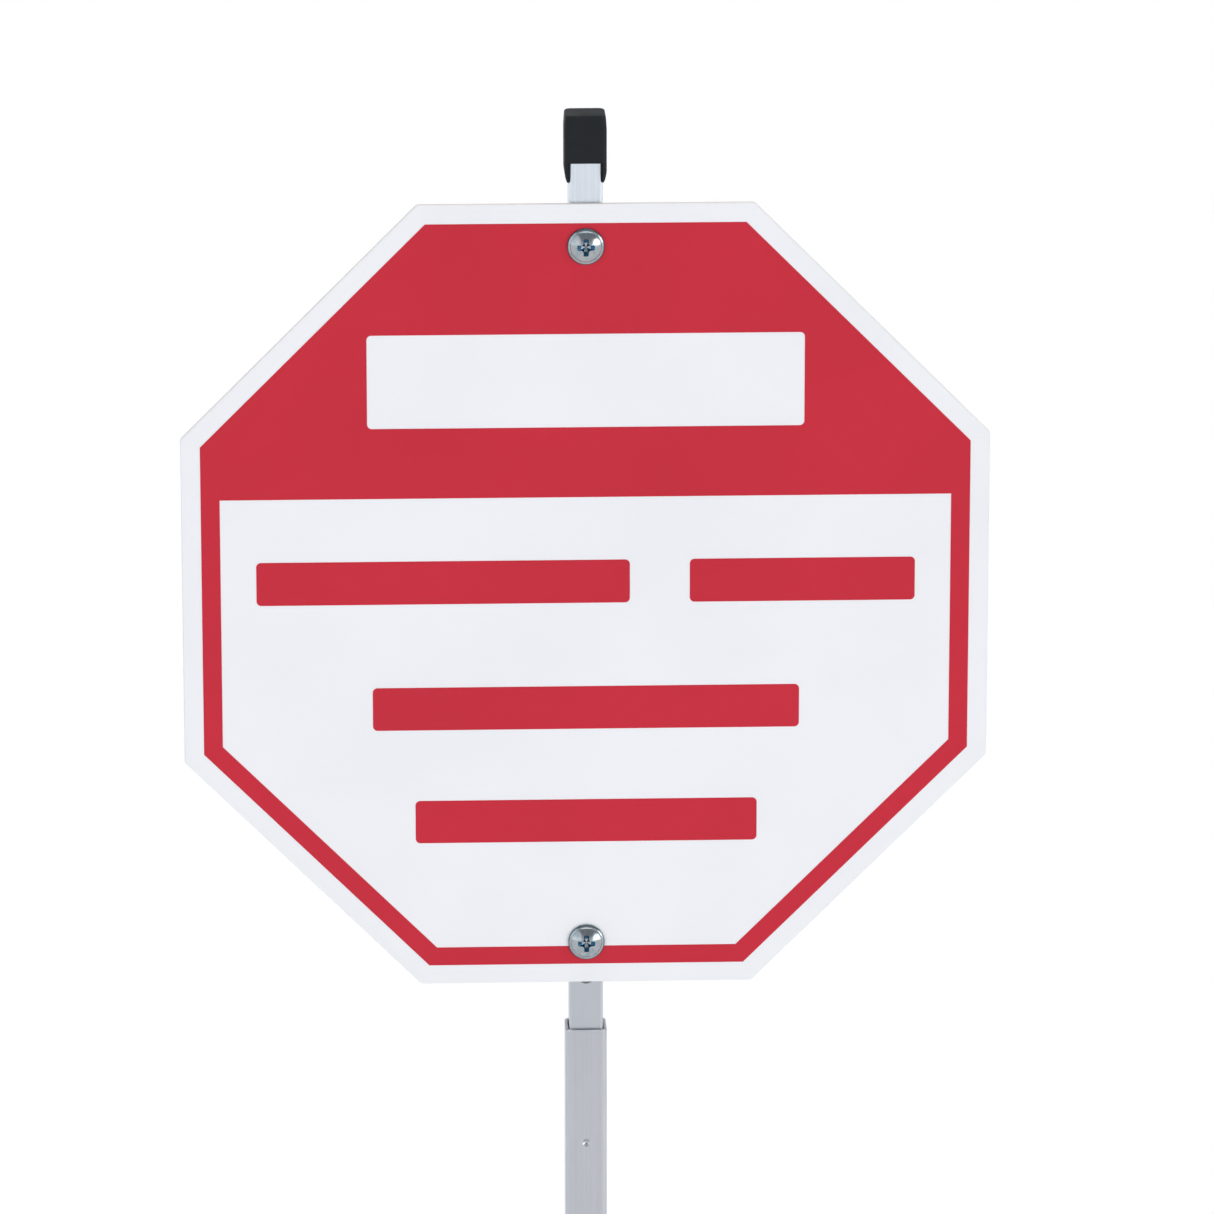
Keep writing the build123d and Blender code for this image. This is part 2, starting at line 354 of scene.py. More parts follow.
def middle(node: str) -> Vector:
    """Gives the middle of a frame node's box."""
    low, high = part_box(node)
    return (low + high) / 2


def screw_heights() -> list[float]:
    """Gives the heights of the upper and the lower sign screw in metres."""
    return [middle(f"{place}_sign_screw").z for place in ("upper", "lower")]


def mount_height(frame: dict[str, object], name: str) -> float:
    """Gives a mount's height in metres, from the record that came with the frame."""
    return next(mount["pos_m"][2] for mount in frame["record"]["mounts"] if mount["name"] == name)


# ---- finishes


def linear(hex_colour: str) -> tuple[float, float, float, float]:
    """Turns an sRGB hex colour into linear light.

    Args:
        hex_colour: six hex digits after a hash sign.

    Returns:
        Red, green, blue and an alpha of one.
    """
    shares = [int(hex_colour[i : i + 2], 16) / 255 for i in (1, 3, 5)]
    light = [s / 12.92 if s <= 0.04045 else ((s + 0.055) / 1.055) ** 2.4 for s in shares]
    return (*light, 1.0)


def add_node(
    tree: bpy.types.NodeTree, kind: str, settings: Settings | None = None, links: Settings | None = None
) -> Node:
    """Adds one node with its settings and links.

    Args:
        tree: the material's nodes.
        kind: the node's type without its ShaderNode prefix.
        settings: values by input name or number, or by the node's own property.
        links: the outputs that feed it, by input name or number.

    Returns:
        The new node.
    """
    node = tree.nodes.new("ShaderNode" + kind)
    for key, value in (settings or {}).items():
        if isinstance(key, str) and hasattr(node, key):
            setattr(node, key, value)
        else:
            node.inputs[key].default_value = value
    for key, source in (links or {}).items():
        tree.links.new(source, node.inputs[key])
    return node


class Mix:
    """Socket numbers of a colour Mix node, whose socket names repeat."""

    FACTOR = 0
    A = 6
    B = 7
    RESULT = 2


@dataclass(frozen=True)
class Grain:
    """An even noise whose patches have a real size."""

    size: float | Triple  # a patch, the same each way or along X, Y and Z
    detail: int = 2  # how many finer layers lie on it
    finer: float = 0.55  # strength of each of them against the one before


@dataclass(frozen=True)
class Blotch:
    """Another colour where a grain is high."""

    grain: Grain
    reach: Span  # the grain's values where the colour begins, and where there is most of it
    share: float  # how much that is, from 0 to 1
    toward: str = "shade"  # the finish's field that holds the colour


@dataclass(frozen=True)
class Wear:
    """A roughness that follows a grain."""

    grain: Grain
    less: float  # how far the roughness falls where the grain is low
    more: float  # how far it rises where the grain is high
    reach: Span = (0.35, 0.7)  # the grain's values between which it changes


@dataclass(frozen=True)
class Relief:
    """A grain that stands out of the surface."""

    grain: Grain
    depth: float


@dataclass
class Surface:
    """One material's nodes while its finish is laid on."""

    tree: bpy.types.NodeTree
    shader: Node
    place: Node  # texture coordinates, whose Object output is in metres in the row frame
    noises: dict[Grain, Socket] = field(default_factory=dict)

    def noise(self, grain: Grain) -> Socket:
        """Gives a grain's noise, and adds its nodes at the first call.

        Args:
            grain: the grain.

        Returns:
            The noise, from 0 to 1 about one half.
        """
        if grain not in self.noises:
            sizes = grain.size if isinstance(grain.size, tuple) else (grain.size,) * 3
            scale = {"Scale": [1 / (length * MM) for length in sizes]}
            mapping = add_node(self.tree, "Mapping", scale, {"Vector": self.place.outputs["Object"]})
            settings = {"Scale": 1.0, "Detail": grain.detail, "Roughness": grain.finer}
            noise = add_node(self.tree, "TexNoise", settings, {"Vector": mapping.outputs["Vector"]})
            self.noises[grain] = noise.outputs[0]
        return self.noises[grain]

    def along(self, source: str, axis: str) -> Socket:
        """Gives one axis of the place, in metres (Object), or of the surface's direction (Normal)."""
        return add_node(self.tree, "SeparateXYZ", links={"Vector": self.place.outputs[source]}).outputs[axis]

    def spread(self, value: Socket, source: Span, target: Span) -> Socket:
        """Maps a value from one range to another, held at the ends.

        Args:
            value: the value to map.
            source: where it starts and ends.
            target: what those become.

        Returns:
            The mapped value.
        """
        settings = {"From Min": source[0], "From Max": source[1], "To Min": target[0], "To Max": target[1]}
        return add_node(self.tree, "MapRange", settings, {"Value": value}).outputs["Result"]

    def combined(self, operation: str, *values: Socket) -> Socket:
        """Gives what an operation makes of one or two values."""
        return add_node(self.tree, "Math", {"operation": operation}, dict(enumerate(values))).outputs[0]

    def tint(self, toward: str, factor: Socket) -> None:
        """Blends what the base colour is so far toward another colour.

        Args:
            toward: the other colour.
            factor: how much of it, from 0 to 1.
        """
        base = self.shader.inputs["Base Color"]
        settings = {"data_type": "RGBA", Mix.A: base.default_value[:], Mix.B: linear(toward)}
        blend = add_node(self.tree, "Mix", settings, {Mix.FACTOR: factor})
        if base.is_linked:
            self.tree.links.new(base.links[0].from_socket, blend.inputs[Mix.A])
        self.tree.links.new(blend.outputs[Mix.RESULT], base)

    def emboss(self, height: Socket, depth: float) -> None:
        """Lays a relief on the surface, over any relief that is there already.

        Args:
            height: the relief, from 0 to 1.
            depth: its real depth.
        """
        bump = add_node(self.tree, "Bump", {"Strength": 1.0, "Distance": depth * MM}, {"Height": height})
        normal = self.shader.inputs["Normal"]
        if normal.is_linked:
            self.tree.links.new(normal.links[0].from_socket, bump.inputs["Normal"])
        self.tree.links.new(bump.outputs["Normal"], normal)


@dataclass(frozen=True)
class Finish:
    """What every finish starts from: a substance, its colour, its gloss and its surface's detail."""

    name: str
    colour: str
    shade: str  # the colour where it is worn or dirty, and in some finishes where shade is painted
    roughness: float
    ior: float = 1.5
    metallic: float = 0.0
    gloss: float = 0.5  # share of the plain reflection, where a half is a clean polished surface
    strength: float = 1.0  # multiplies the blotches' shares
    blotches: tuple[Blotch, ...] = ()
    wear: Wear | None = None
    reliefs: tuple[Relief, ...] = ()

    def make(self) -> Material:
        """Builds the material.

        Returns:
            The material.
        """
        material = bpy.data.materials.new(self.name)
        material.use_nodes = True
        tree = material.node_tree
        tree.nodes.clear()
        settings = {
            "Base Color": linear(self.colour),
            "Roughness": self.roughness,
            "Metallic": self.metallic,
            "IOR": self.ior,
            "Specular IOR Level": self.gloss,
        }
        shader = add_node(tree, "BsdfPrincipled", settings)
        add_node(tree, "OutputMaterial", links={"Surface": shader.outputs["BSDF"]})
        surface = Surface(tree, shader, add_node(tree, "TexCoord"))
        for blotch in self.blotches:
            most = (0.0, blotch.share * self.strength)
            factor = surface.spread(surface.noise(blotch.grain), blotch.reach, most)
            surface.tint(getattr(self, blotch.toward), factor)
        self.accent(surface)
        if self.wear:
            ends = (self.roughness - self.wear.less, self.roughness + self.wear.more)
            rough = surface.spread(surface.noise(self.wear.grain), self.wear.reach, ends)
            tree.links.new(rough, shader.inputs["Roughness"])
        for relief in self.reliefs:
            surface.emboss(surface.noise(relief.grain), relief.depth)
        LOG.info("finish %s: %s, roughness %.2f", self.name, self.colour, self.roughness)
        return material

    def accent(self, surface: Surface) -> None:
        """Adds colour that follows the piece's form, which most finishes don't have."""


@dataclass(frozen=True)
class ExtrudedAluminium(Finish):
    """6063 tube as it leaves the die: satin, with fine lines along its length and a thin dull oxide.

    The die's lines are about 0.1 mm apart, and are drawn coarser so that they show.
    """

    lines: ClassVar[Grain] = Grain((0.45, 0.45, 160.0), 3)
    metallic: float = 1.0
    blotches: tuple[Blotch, ...] = (
        Blotch(lines, (0.35, 0.7), 0.28),
        Blotch(Grain((22.0, 22.0, 66.0)), (0.45, 0.75), 0.3),  # the oxide's soft patches
    )
    wear: Wear = Wear(Grain((2.5, 2.5, 9.0), 5), 0.06, 0.08)  # handling marks
    reliefs: tuple[Relief, ...] = (Relief(lines, 0.004),)
    painted_shade_from: float = -1.0  # height in metres up to which the painted shade is full
    painted_shade_to: float = -0.9  # height in metres where the painted shade has ended
    # how far the painted shade turns the colour toward the shade colour
    painted_shade_share: float = 0.9

    def accent(self, surface: Surface) -> None:
        """Paints shade onto the length below a height, fading out above it."""
        # painted shade: full below one height, gone above the next
        reach, share = (self.painted_shade_from, self.painted_shade_to), (self.painted_shade_share, 0.0)
        surface.tint(self.shade, surface.spread(surface.along("Object", "Z"), reach, share))


@dataclass(frozen=True)
class PrintedFilm(Finish):
    """Semi-gloss vinyl film with a clear laminate: soft wide reflections, a faint orange peel."""

    ior: float = 1.53
    blotches: tuple[Blotch, ...] = (
        Blotch(Grain(55.0), (0.4, 0.7), 0.3),  # slow drift of the print's density
        Blotch(Grain(0.5), (0.45, 0.7), 0.15),
    )
    wear: Wear = Wear(Grain((34.0, 34.0, 3.0), 4), 0.04, 0.08)  # wiping marks
    reliefs: tuple[Relief, ...] = (Relief(Grain(1.6, 1), 0.0022),)  # orange peel


@dataclass(frozen=True)
class CutSheet(Finish):
    """Polystyrene sheet: smooth calendered faces, and sawn edges drawn in a darker, warmer grey."""

    scuffs: ClassVar[Grain] = Grain((18.0, 18.0, 2.2), 5)
    ior: float = 1.59
    blotches: tuple[Blotch, ...] = (Blotch(scuffs, (0.55, 0.75), 0.1),)
    wear: Wear = Wear(scuffs, 0.05, 0.12)
    reliefs: tuple[Relief, ...] = (
        Relief(Grain((9.0, 9.0, 36.0)), 0.01),  # rolling ripple
        Relief(Grain((0.25, 4.0, 0.25)), 0.0025),  # saw marks, which run through the sheet's edge
    )
    turned_away: Span = (0.35, 0.8)  # how much of a face's direction is front or back: darkened, and plain
    edge_share: float = 0.85

    def accent(self, surface: Surface) -> None:
        """Darkens the sawn edges."""
        facing = surface.combined("ABSOLUTE", surface.along("Normal", "Y"))
        surface.tint(self.shade, surface.spread(facing, self.turned_away, (self.edge_share, 0.0)))


@dataclass(frozen=True)
class SoftVinyl(Finish):
    """Moulded plasticised PVC: near black with a fine matt grain, paler where a mallet has scuffed it."""

    bloom: ClassVar[Grain] = Grain(6.0, 3)
    ior: float = 1.53
    blotches: tuple[Blotch, ...] = (Blotch(bloom, (0.4, 0.7), 0.12),)
    wear: Wear = Wear(bloom, 0.07, 0.1)
    reliefs: tuple[Relief, ...] = (Relief(Grain(0.4), 0.04),)
    scratches: Blotch = Blotch(Grain((0.5, 3.0, 0.5), 4), (0.5, 0.72), 0.2)
    scuff_from: float = 0.0  # height in metres where the scuffs start
    scuff_to: float = 1.0  # height in metres where they are full

    def accent(self, surface: Surface) -> None:
        """Adds the scuffs toward the struck end.

        Args:
            surface: the material's nodes.
        """
        scratches = self.scratches
        reach = surface.spread(surface.along("Object", "Z"), (self.scuff_from, self.scuff_to), (0.0, 1.0))
        worn = surface.spread(surface.noise(scratches.grain), scratches.reach, (0.0, scratches.share))
        surface.tint(self.shade, surface.combined("MULTIPLY", reach, worn))


@dataclass(frozen=True)
class BrightZinc(Finish):
    """Blue-passivated zinc on steel: a bright skin with a cool bloom and the plating's fine crystals."""

    spots: ClassVar[Grain] = Grain(0.7, 3)
    metallic: float = 1.0
    bloom_colour: str = "#8FA0A6"
    blotches: tuple[Blotch, ...] = (
        Blotch(Grain(2.2), (0.38, 0.62), 0.7, "bloom_colour"),
        Blotch(spots, (0.55, 0.75), 0.5),
    )
    wear: Wear = Wear(spots, 0.05, 0.12)
    reliefs: tuple[Relief, ...] = (Relief(Grain(0.22), 0.0012),)


@dataclass(frozen=True)
class MouldedNylon(Finish):
    """Injection-moulded nylon: a dull, faintly cloudy skin with a fine spark-eroded texture."""

    flow: ClassVar[Grain] = Grain((3.0, 3.0, 14.0), 3)
    ior: float = 1.53
    blotches: tuple[Blotch, ...] = (Blotch(flow, (0.4, 0.7), 0.35),)
    wear: Wear = Wear(flow, 0.08, 0.08)
    reliefs: tuple[Relief, ...] = (Relief(Grain(0.3), 0.012),)


@dataclass(frozen=True)
class StudioPaint(Finish):
    """Matt white painted floor board, with a roller's faint stipple."""

    stipple: ClassVar[Grain] = Grain(6.0)
    blotches: tuple[Blotch, ...] = (Blotch(stipple, (0.4, 0.7), 0.1),)
    reliefs: tuple[Relief, ...] = (Relief(stipple, 0.01),)


# ---- sub-assemblies


@dataclass
class SignPanel:
    """The octagonal plate with its printed films."""

    corner: float = 2.0
    edge_round: float = 0.22
    edge_steps: int = 3  # straight pieces in each rounded edge
    hole: float = 5.5

    def build(self) -> None:
        """Builds the plate, and finishes the frame's own film pieces."""
        sheet = CutSheet("calendered_white_polystyrene", "#E9EAEC", "#C9BEB2", 0.42)
        white = PrintedFilm("white_vinyl_film", "#F0F1F3", "#E6E7EA", 0.36, gloss=0.3)
        red = PrintedFilm("red_vinyl_film", "#C81B32", "#BC182D", 0.36, gloss=0.3, strength=1.5)
        fit_out(self.plate(), Body.UPPER, "sign_plate", [sheet.make()])
        dress_node("white_film", white.make())
        ink = red.make()
        dress_node("red_border", ink)
        dress_node("legend_bars", ink)

    def plate(self) -> Piece:
        """Builds the plate with rounded edges and its two screw holes.

        Returns:
            The plate.
        """
        low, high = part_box("sign_plate")
        flats = (high.x - low.x) / MM
        height = (low.z + high.z) / 2
        quarter = [math.pi / 2 * step / self.edge_steps for step in range(self.edge_steps + 1)]
        rings: list[Ring] = []
        for face, inward, angles in ((high.y, -MM, quarter), (low.y, MM, quarter[::-1])):
            for angle in angles:
                inset = self.edge_round * (1 - math.sin(angle))
                depth = face + inward * self.edge_round * (1 - math.cos(angle))
                rings.append(facing_ring(octagon_outline(flats - 2 * inset, self.corner), depth, height))
        plate = loft("octagonal_plate", rings)
        drill(plate, "sign_plate", screw_heights(), self.hole / 2)
        smooth(plate)
        return plate


@dataclass(frozen=True)
class TubeSection:
    """A square tube's section."""

    wall: float
    corner: float  # the outer corners' radius
    bore_corner: float  # the inner corners' radius


@dataclass
class Stake:
    """The two aluminium tubes with their holes and punched dimples."""

    spare_hole: float  # its height in metres
    upper: TubeSection = TubeSection(1.0, 1.0, 0.4)
    lower: TubeSection = TubeSection(1.05, 1.7, 1.2)
    end_break: float = 0.25
    hole: float = 5.2
    hole_break: float = 0.12  # countersink that takes the drill's burr off
    dent_radius: float = 1.75
    dent_depth: float = 0.85
    dent_rings: int = 10
    dent_shape: float = 1.3  # the larger, the softer the hollow runs out into the face
    bump_radius: float = 1.5
    bump_height: float = 0.9
    bump_nose: Steps = ((0.0, 0.35), (0.12, 0.12), (0.4, 0.0))  # inset, and distance from the tip
    stop_gap: float = 0.05  # between the upper tube's end and the dimples that it stands on
    staking_rise: float = 10.0  # from the lower tube's end up to the dimples that hold the point
    painted_shade_fade: float = 60.0  # each way from the sign's middle, over which its painted shade ends

    def build(self) -> None:
        """Builds both tubes."""
        sign = middle("sign_plate").z
        # painted light and shade: the upper tube is drawn pale and bluish, and turns toward its shade colour
        # below the sign's middle
        upper_metal = ExtrudedAluminium(
            "aluminium_with_painted_light_and_shade",
            "#E0E8EF",
            "#B7BBC0",
            0.34,
            painted_shade_from=sign - self.painted_shade_fade * MM,
            painted_shade_to=sign + self.painted_shade_fade * MM,
        )
        lower_metal = ExtrudedAluminium("extruded_aluminium_grey", "#BFC2C6", "#ACB0B5", 0.38)
        fit_out(self.upper_tube(), Body.UPPER, "upper_tube", [upper_metal.make()])
        fit_out(self.lower_tube(), Body.LEG, "lower_tube", [lower_metal.make()])

    def square_tube(self, name: str, node: str, section: TubeSection) -> Piece:
        """Builds a plain square tube with deburred ends.

        Args:
            name: the object's name.
            node: the frame node that gives its side and its length.
            section: the wall and the corners.

        Returns:
            The tube.
        """
        low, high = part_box(node)
        side = (high.x - low.x) / MM
        bore = side - 2 * section.wall
        rim = self.end_break
        outer_end = (side - 2 * rim, section.corner - rim / 2)
        inner_end = (bore + 2 * rim, section.bore_corner + rim / 2)
        stations = [
            (*outer_end, low.z),
            (side, section.corner, low.z + rim * MM),
            (side, section.corner, high.z - rim * MM),
            (*outer_end, high.z),
            (*inner_end, high.z),
            (bore, section.bore_corner, high.z - rim * MM),
            (bore, section.bore_corner, low.z + rim * MM),
            (*inner_end, low.z),
        ]
        return loft(name, square_rings(stations), hollow=True)

    def upper_tube(self) -> Piece:
        """Builds the tube that carries the sign, with its three cross holes.

        Returns:
            The tube.
        """
        tube = self.square_tube("upper_square_tube", "upper_tube", self.upper)
        drill(tube, "upper_tube", [*screw_heights(), self.spare_hole], self.hole / 2, self.hole_break)
        smooth(tube)
        return tube

    def lower_tube(self) -> Piece:
        """Builds the tube in the ground, with its two pairs of dimples.

        Returns:
            The tube.
        """
        low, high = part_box("lower_tube")
        tube = self.square_tube("lower_square_tube", "lower_tube", self.lower)
        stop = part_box("upper_tube")[0].z - (self.bump_radius + self.stop_gap) * MM
        for height in (stop, low.z + self.staking_rise * MM):
            for side in (-1, 1):
                self.punch(tube, height, side, high.y / MM)
        smooth(tube)
        return tube

    def punch(self, tube: Piece, height: float, side: int, face: float) -> None:
        """Punches a dimple: a bump inside the wall, and a hollow that runs out softly into the face.

        Args:
            tube: the lower tube.
            height: the dimple's height in metres.
            side: -1 for the front wall and 1 for the back.
            face: distance of the tube's face from its axis.
        """
        inner = face - self.lower.wall
        tip = inner - self.bump_height
        bump = [(self.bump_radius, inner + self.lower.wall / 2)]
        bump += [(self.bump_radius - inset, tip + rise) for inset, rise in self.bump_nose]
        combine(tube, [lathe("bump", bump, height, side)], "UNION")
        dent = [(SLIVER, face - self.dent_depth)]
        for ring in range(self.dent_rings):
            share = (ring + 0.5) / self.dent_rings
            sunk = self.dent_depth * (0.5 + 0.5 * math.cos(math.pi * share)) ** self.dent_shape
            dent.append((self.dent_radius * share, face - sunk))
        dent += [(self.dent_radius, face + SLIVER), (self.dent_radius, face + OVERSHOOT)]
        combine(tube, [lathe("dent", dent, height, side)], "DIFFERENCE")


@dataclass
class DrivingCap:
    """The soft black cap over the stake's top, open in front below its short wall."""

    wall: float = 1.2
    fit: float = 0.05  # clearance round the tube
    roof: float = 2.8
    front: float = 15.3  # height of the wall over the notch, from the top
    notch_lap: float = 0.1  # how far the cap's sides reach over the tube's edges beside the notch
    notch_corner: float = 0.3
    corner: float = 1.4
    hollow_corner: float = 0.98
    skirt: tuple[Triple, ...] = (  # inset, corner radius and height over the lower edge
        (0.85, 1.12, 0.0),
        (0.552, 1.26, 0.72),
        (0.3, 1.4, 1.6),
        (0.06, 1.4, 3.12),
        (0.0, 1.4, 3.9),
    )
    lean: Steps = ((0.0, 4.5), (0.125, 2.475))  # inset, and distance below the top
    top_inset: float = 0.25  # how far each side has leant in by the top
    top_round: float = 0.9
    round_steps: int = 5
    crown: float = 0.15
    crown_rings: tuple[float, ...] = (0.75, 0.5, 0.25)  # shares of the flat top's width
    edge: float = 0.16  # width of the rounding on the sharp edges
    scuff_start: float = 3.0  # distance below the top
    scuff_full: float = 0.4

    def build(self) -> None:
        """Builds the cap."""
        low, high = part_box("driving_cap")
        vinyl = SoftVinyl(
            "moulded_black_vinyl",
            "#171B1E",
            "#33383B",
            0.72,
            gloss=0.22,
            scuff_from=high.z - self.scuff_start * MM,
            scuff_to=high.z - self.scuff_full * MM,
        )
        fit_out(self.shell(low, high), Body.UPPER, "driving_cap", [vinyl.make()])

    def shell(self, low: Vector, high: Vector) -> Piece:
        """Builds the cap's shell.

        Args:
            low: lowest corner of the frame node.
            high: its highest corner.

        Returns:
            The shell.
        """
        side = (high.x - low.x) / MM
        shell = loft("cap_outer", square_rings(self.outside(side, low.z, high.z)))
        cavity = side - 2 * self.wall
        ends = (low.z - OVERSHOOT * MM, high.z - self.roof * MM)
        hollow = square_rings([(cavity, self.hollow_corner, end) for end in ends])
        notch = cavity - 2 * self.fit - 2 * self.notch_lap
        middle_height = high.z - (self.front + notch / 2) * MM
        outline = square_outline(notch, self.notch_corner)
        opening = [facing_ring(outline, depth, middle_height) for depth in (low.y - OVERSHOOT * MM, 0.0)]
        combine(shell, [loft("cap_hollow", hollow), loft("cap_notch", opening)], "DIFFERENCE")
        shell.name = "moulded_driving_cap"
        round_edges(shell, self.edge, steps=2, sharper_than=50)
        smooth(shell, crease=40)
        return shell

    def outside(self, side: float, bottom: float, top: float) -> list[Triple]:
        """Gives the cap's outer form: a waisted skirt, sides that lean in, and a rounded, crowned top.

        Args:
            side: the cap's width.
            bottom: height of its lower edge in metres.
            top: height of its top in metres.

        Returns:
            Width, corner radius and height in metres of each ring, upward.
        """
        stations = [(side - 2 * inset, radius, bottom + rise * MM) for inset, radius, rise in self.skirt]
        stations += [(side - 2 * inset, self.corner, top - drop * MM) for inset, drop in self.lean]
        narrow = side - 2 * self.top_inset
        for step in range(self.round_steps + 1):
            angle = math.pi / 2 * step / self.round_steps
            inset = self.top_round * (1 - math.cos(angle))
            drop = self.crown + self.top_round * (1 - math.sin(angle))
            stations.append((narrow - 2 * inset, self.corner, top - drop * MM))
        for share in self.crown_rings:
            width = (narrow - 2 * self.top_round) * share
            stations.append((width, self.corner * share, top - self.crown * share**2 * MM))
        return stations


@dataclass
class GroundPoint:
    """The four-sided point with the shank that is staked into the lower tube."""

    nose: Span = (1.1, 0.3)  # width and corner radius of the blunt end
    tip: Span = (2.0, 0.6)  # width and corner radius where the taper starts
    tip_height: float = 0.4
    taper_rings: int = 5
    shoulder: float = 1.2  # height of the straight land under the tube's end
    shoulder_break: float = 0.15
    swell: float = 0.55  # how far each side stands out of a straight taper at its middle
    corner: float = 1.7
    wall: float = 1.05  # the tube's
    shank_fit: float = 0.05
    shank_corner: float = 1.2
    lead: float = 1.0  # height and width of the bevel that leads the shank in
    lead_corner: float = 0.72

    def build(self) -> None:
        """Builds the point."""
        nylon = MouldedNylon("glass_filled_black_nylon", "#222427", "#3A3C3F", 0.55)
        fit_out(self.point(), Body.LEG, "ground_point", [nylon.make()])

    def point(self) -> Piece:
        """Builds the tapered point and its shank.

        Returns:
            The two as one solid.
        """
        low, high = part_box("ground_point")
        side = (high.x - low.x) / MM
        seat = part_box("lower_tube")[0].z
        shank = side - 2 * self.wall - 2 * self.shank_fit
        length = (seat - low.z) / MM - self.shoulder
        start, start_corner = self.tip
        stations = [(*self.nose, low.z), (*self.tip, low.z + self.tip_height * MM)]
        for ring in range(1, self.taper_rings + 1):
            share = ring / self.taper_rings
            width = start + (side - start) * share + 2 * self.swell * math.sin(math.pi * share)
            radius = start_corner + (self.corner - start_corner) * share
            stations.append((min(width, side), radius, low.z + length * share * MM))
        stations += [
            (side, self.corner, seat - self.shoulder_break * MM),
            (side - 2 * self.shoulder_break, self.corner, seat),
            (shank, self.shank_corner, seat),
            (shank, self.shank_corner, high.z - self.lead * MM),
            (shank - 2 * self.lead, self.lead_corner, high.z),
        ]
        point = loft("driven_point", square_rings(stations))
        smooth(point, crease=25)
        return point


@dataclass(frozen=True)
class CrossLevel:
    """The driver recess's outline at one level: a cross whose arms meet in round inner corners."""

    half_width: float  # of an arm
    half_span: float  # an arm's reach from the axis
    root: float  # radius of the inner corners
    tip_round: float = 0.19  # rounding of an arm's end, as a share of its half width
    end_shares: Span = (0.3, 0.6)  # where the points on an arm's end lie, in half widths
    bend: Span = (0.3, 0.2)  # how far the rounding's two points stand in, in roundings
    straight_gap: float = 2.5  # from the arm's end to where its side is straight, in roundings
    root_turns: tuple[int, ...] = (-101, -112, -123, -135)  # half of an inner corner's arc, in degrees

    def outline(self) -> Flat:
        """Gives the outline, anticlockwise.

        Returns:
            The outline, with the same number of points at every level.
        """
        width, span = self.half_width, self.half_span
        tip, centre = self.tip_round * width, width + self.root
        straight = span - self.straight_gap * tip
        arm = [
            (span, 0.0),
            (span, width * self.end_shares[0]),
            (span, width * self.end_shares[1]),
            (span - self.bend[0] * tip, width - tip),
            (span - tip, width - self.bend[1] * tip),
            (straight, width),
            ((straight + centre) / 2, width),
            (centre, width),
        ]
        for x, y in circle(self.root, [math.radians(turn) for turn in self.root_turns]):
            arm.append((centre + x, centre + y))
        quarter = arm[:-1] + [(y, x) for x, y in reversed(arm[1:])]
        outline: Flat = []
        for cos, sin in ((1, 0), (0, 1), (-1, 0), (0, -1)):
            outline += [(x * cos - y * sin, x * sin + y * cos) for x, y in quarter]
        return outline


@dataclass(frozen=True)
class FastenerFinishes:
    """The finishes that both fasteners share."""

    zinc: Material
    recess: Material  # in the driver recess, drawn dark blue as painted shade
    rim: Material  # on the collar's rim, drawn dark teal as painted shade and reflection
    nylon: Material

    @classmethod
    def make(cls) -> "FastenerFinishes":
        """Builds the four materials.

        Returns:
            The finishes.
        """
        return cls(
            BrightZinc("blue_passivated_zinc", "#ABAFB1", "#737A7E", 0.17).make(),
            # painted shade: the driver recess drawn dark blue
            BrightZinc("zinc_with_painted_recess_shade", "#35627E", "#1E3E54", 0.28, bloom_colour="#27526E").make(),
            # painted shade and reflection: the collar's rim drawn dark teal
            BrightZinc("zinc_with_painted_rim_shade", "#62747C", "#3C5360", 0.22, bloom_colour="#4A6470").make(),
            MouldedNylon("natural_nylon", "#DADCD6", "#C6C8C0", 0.45).make(),
        )


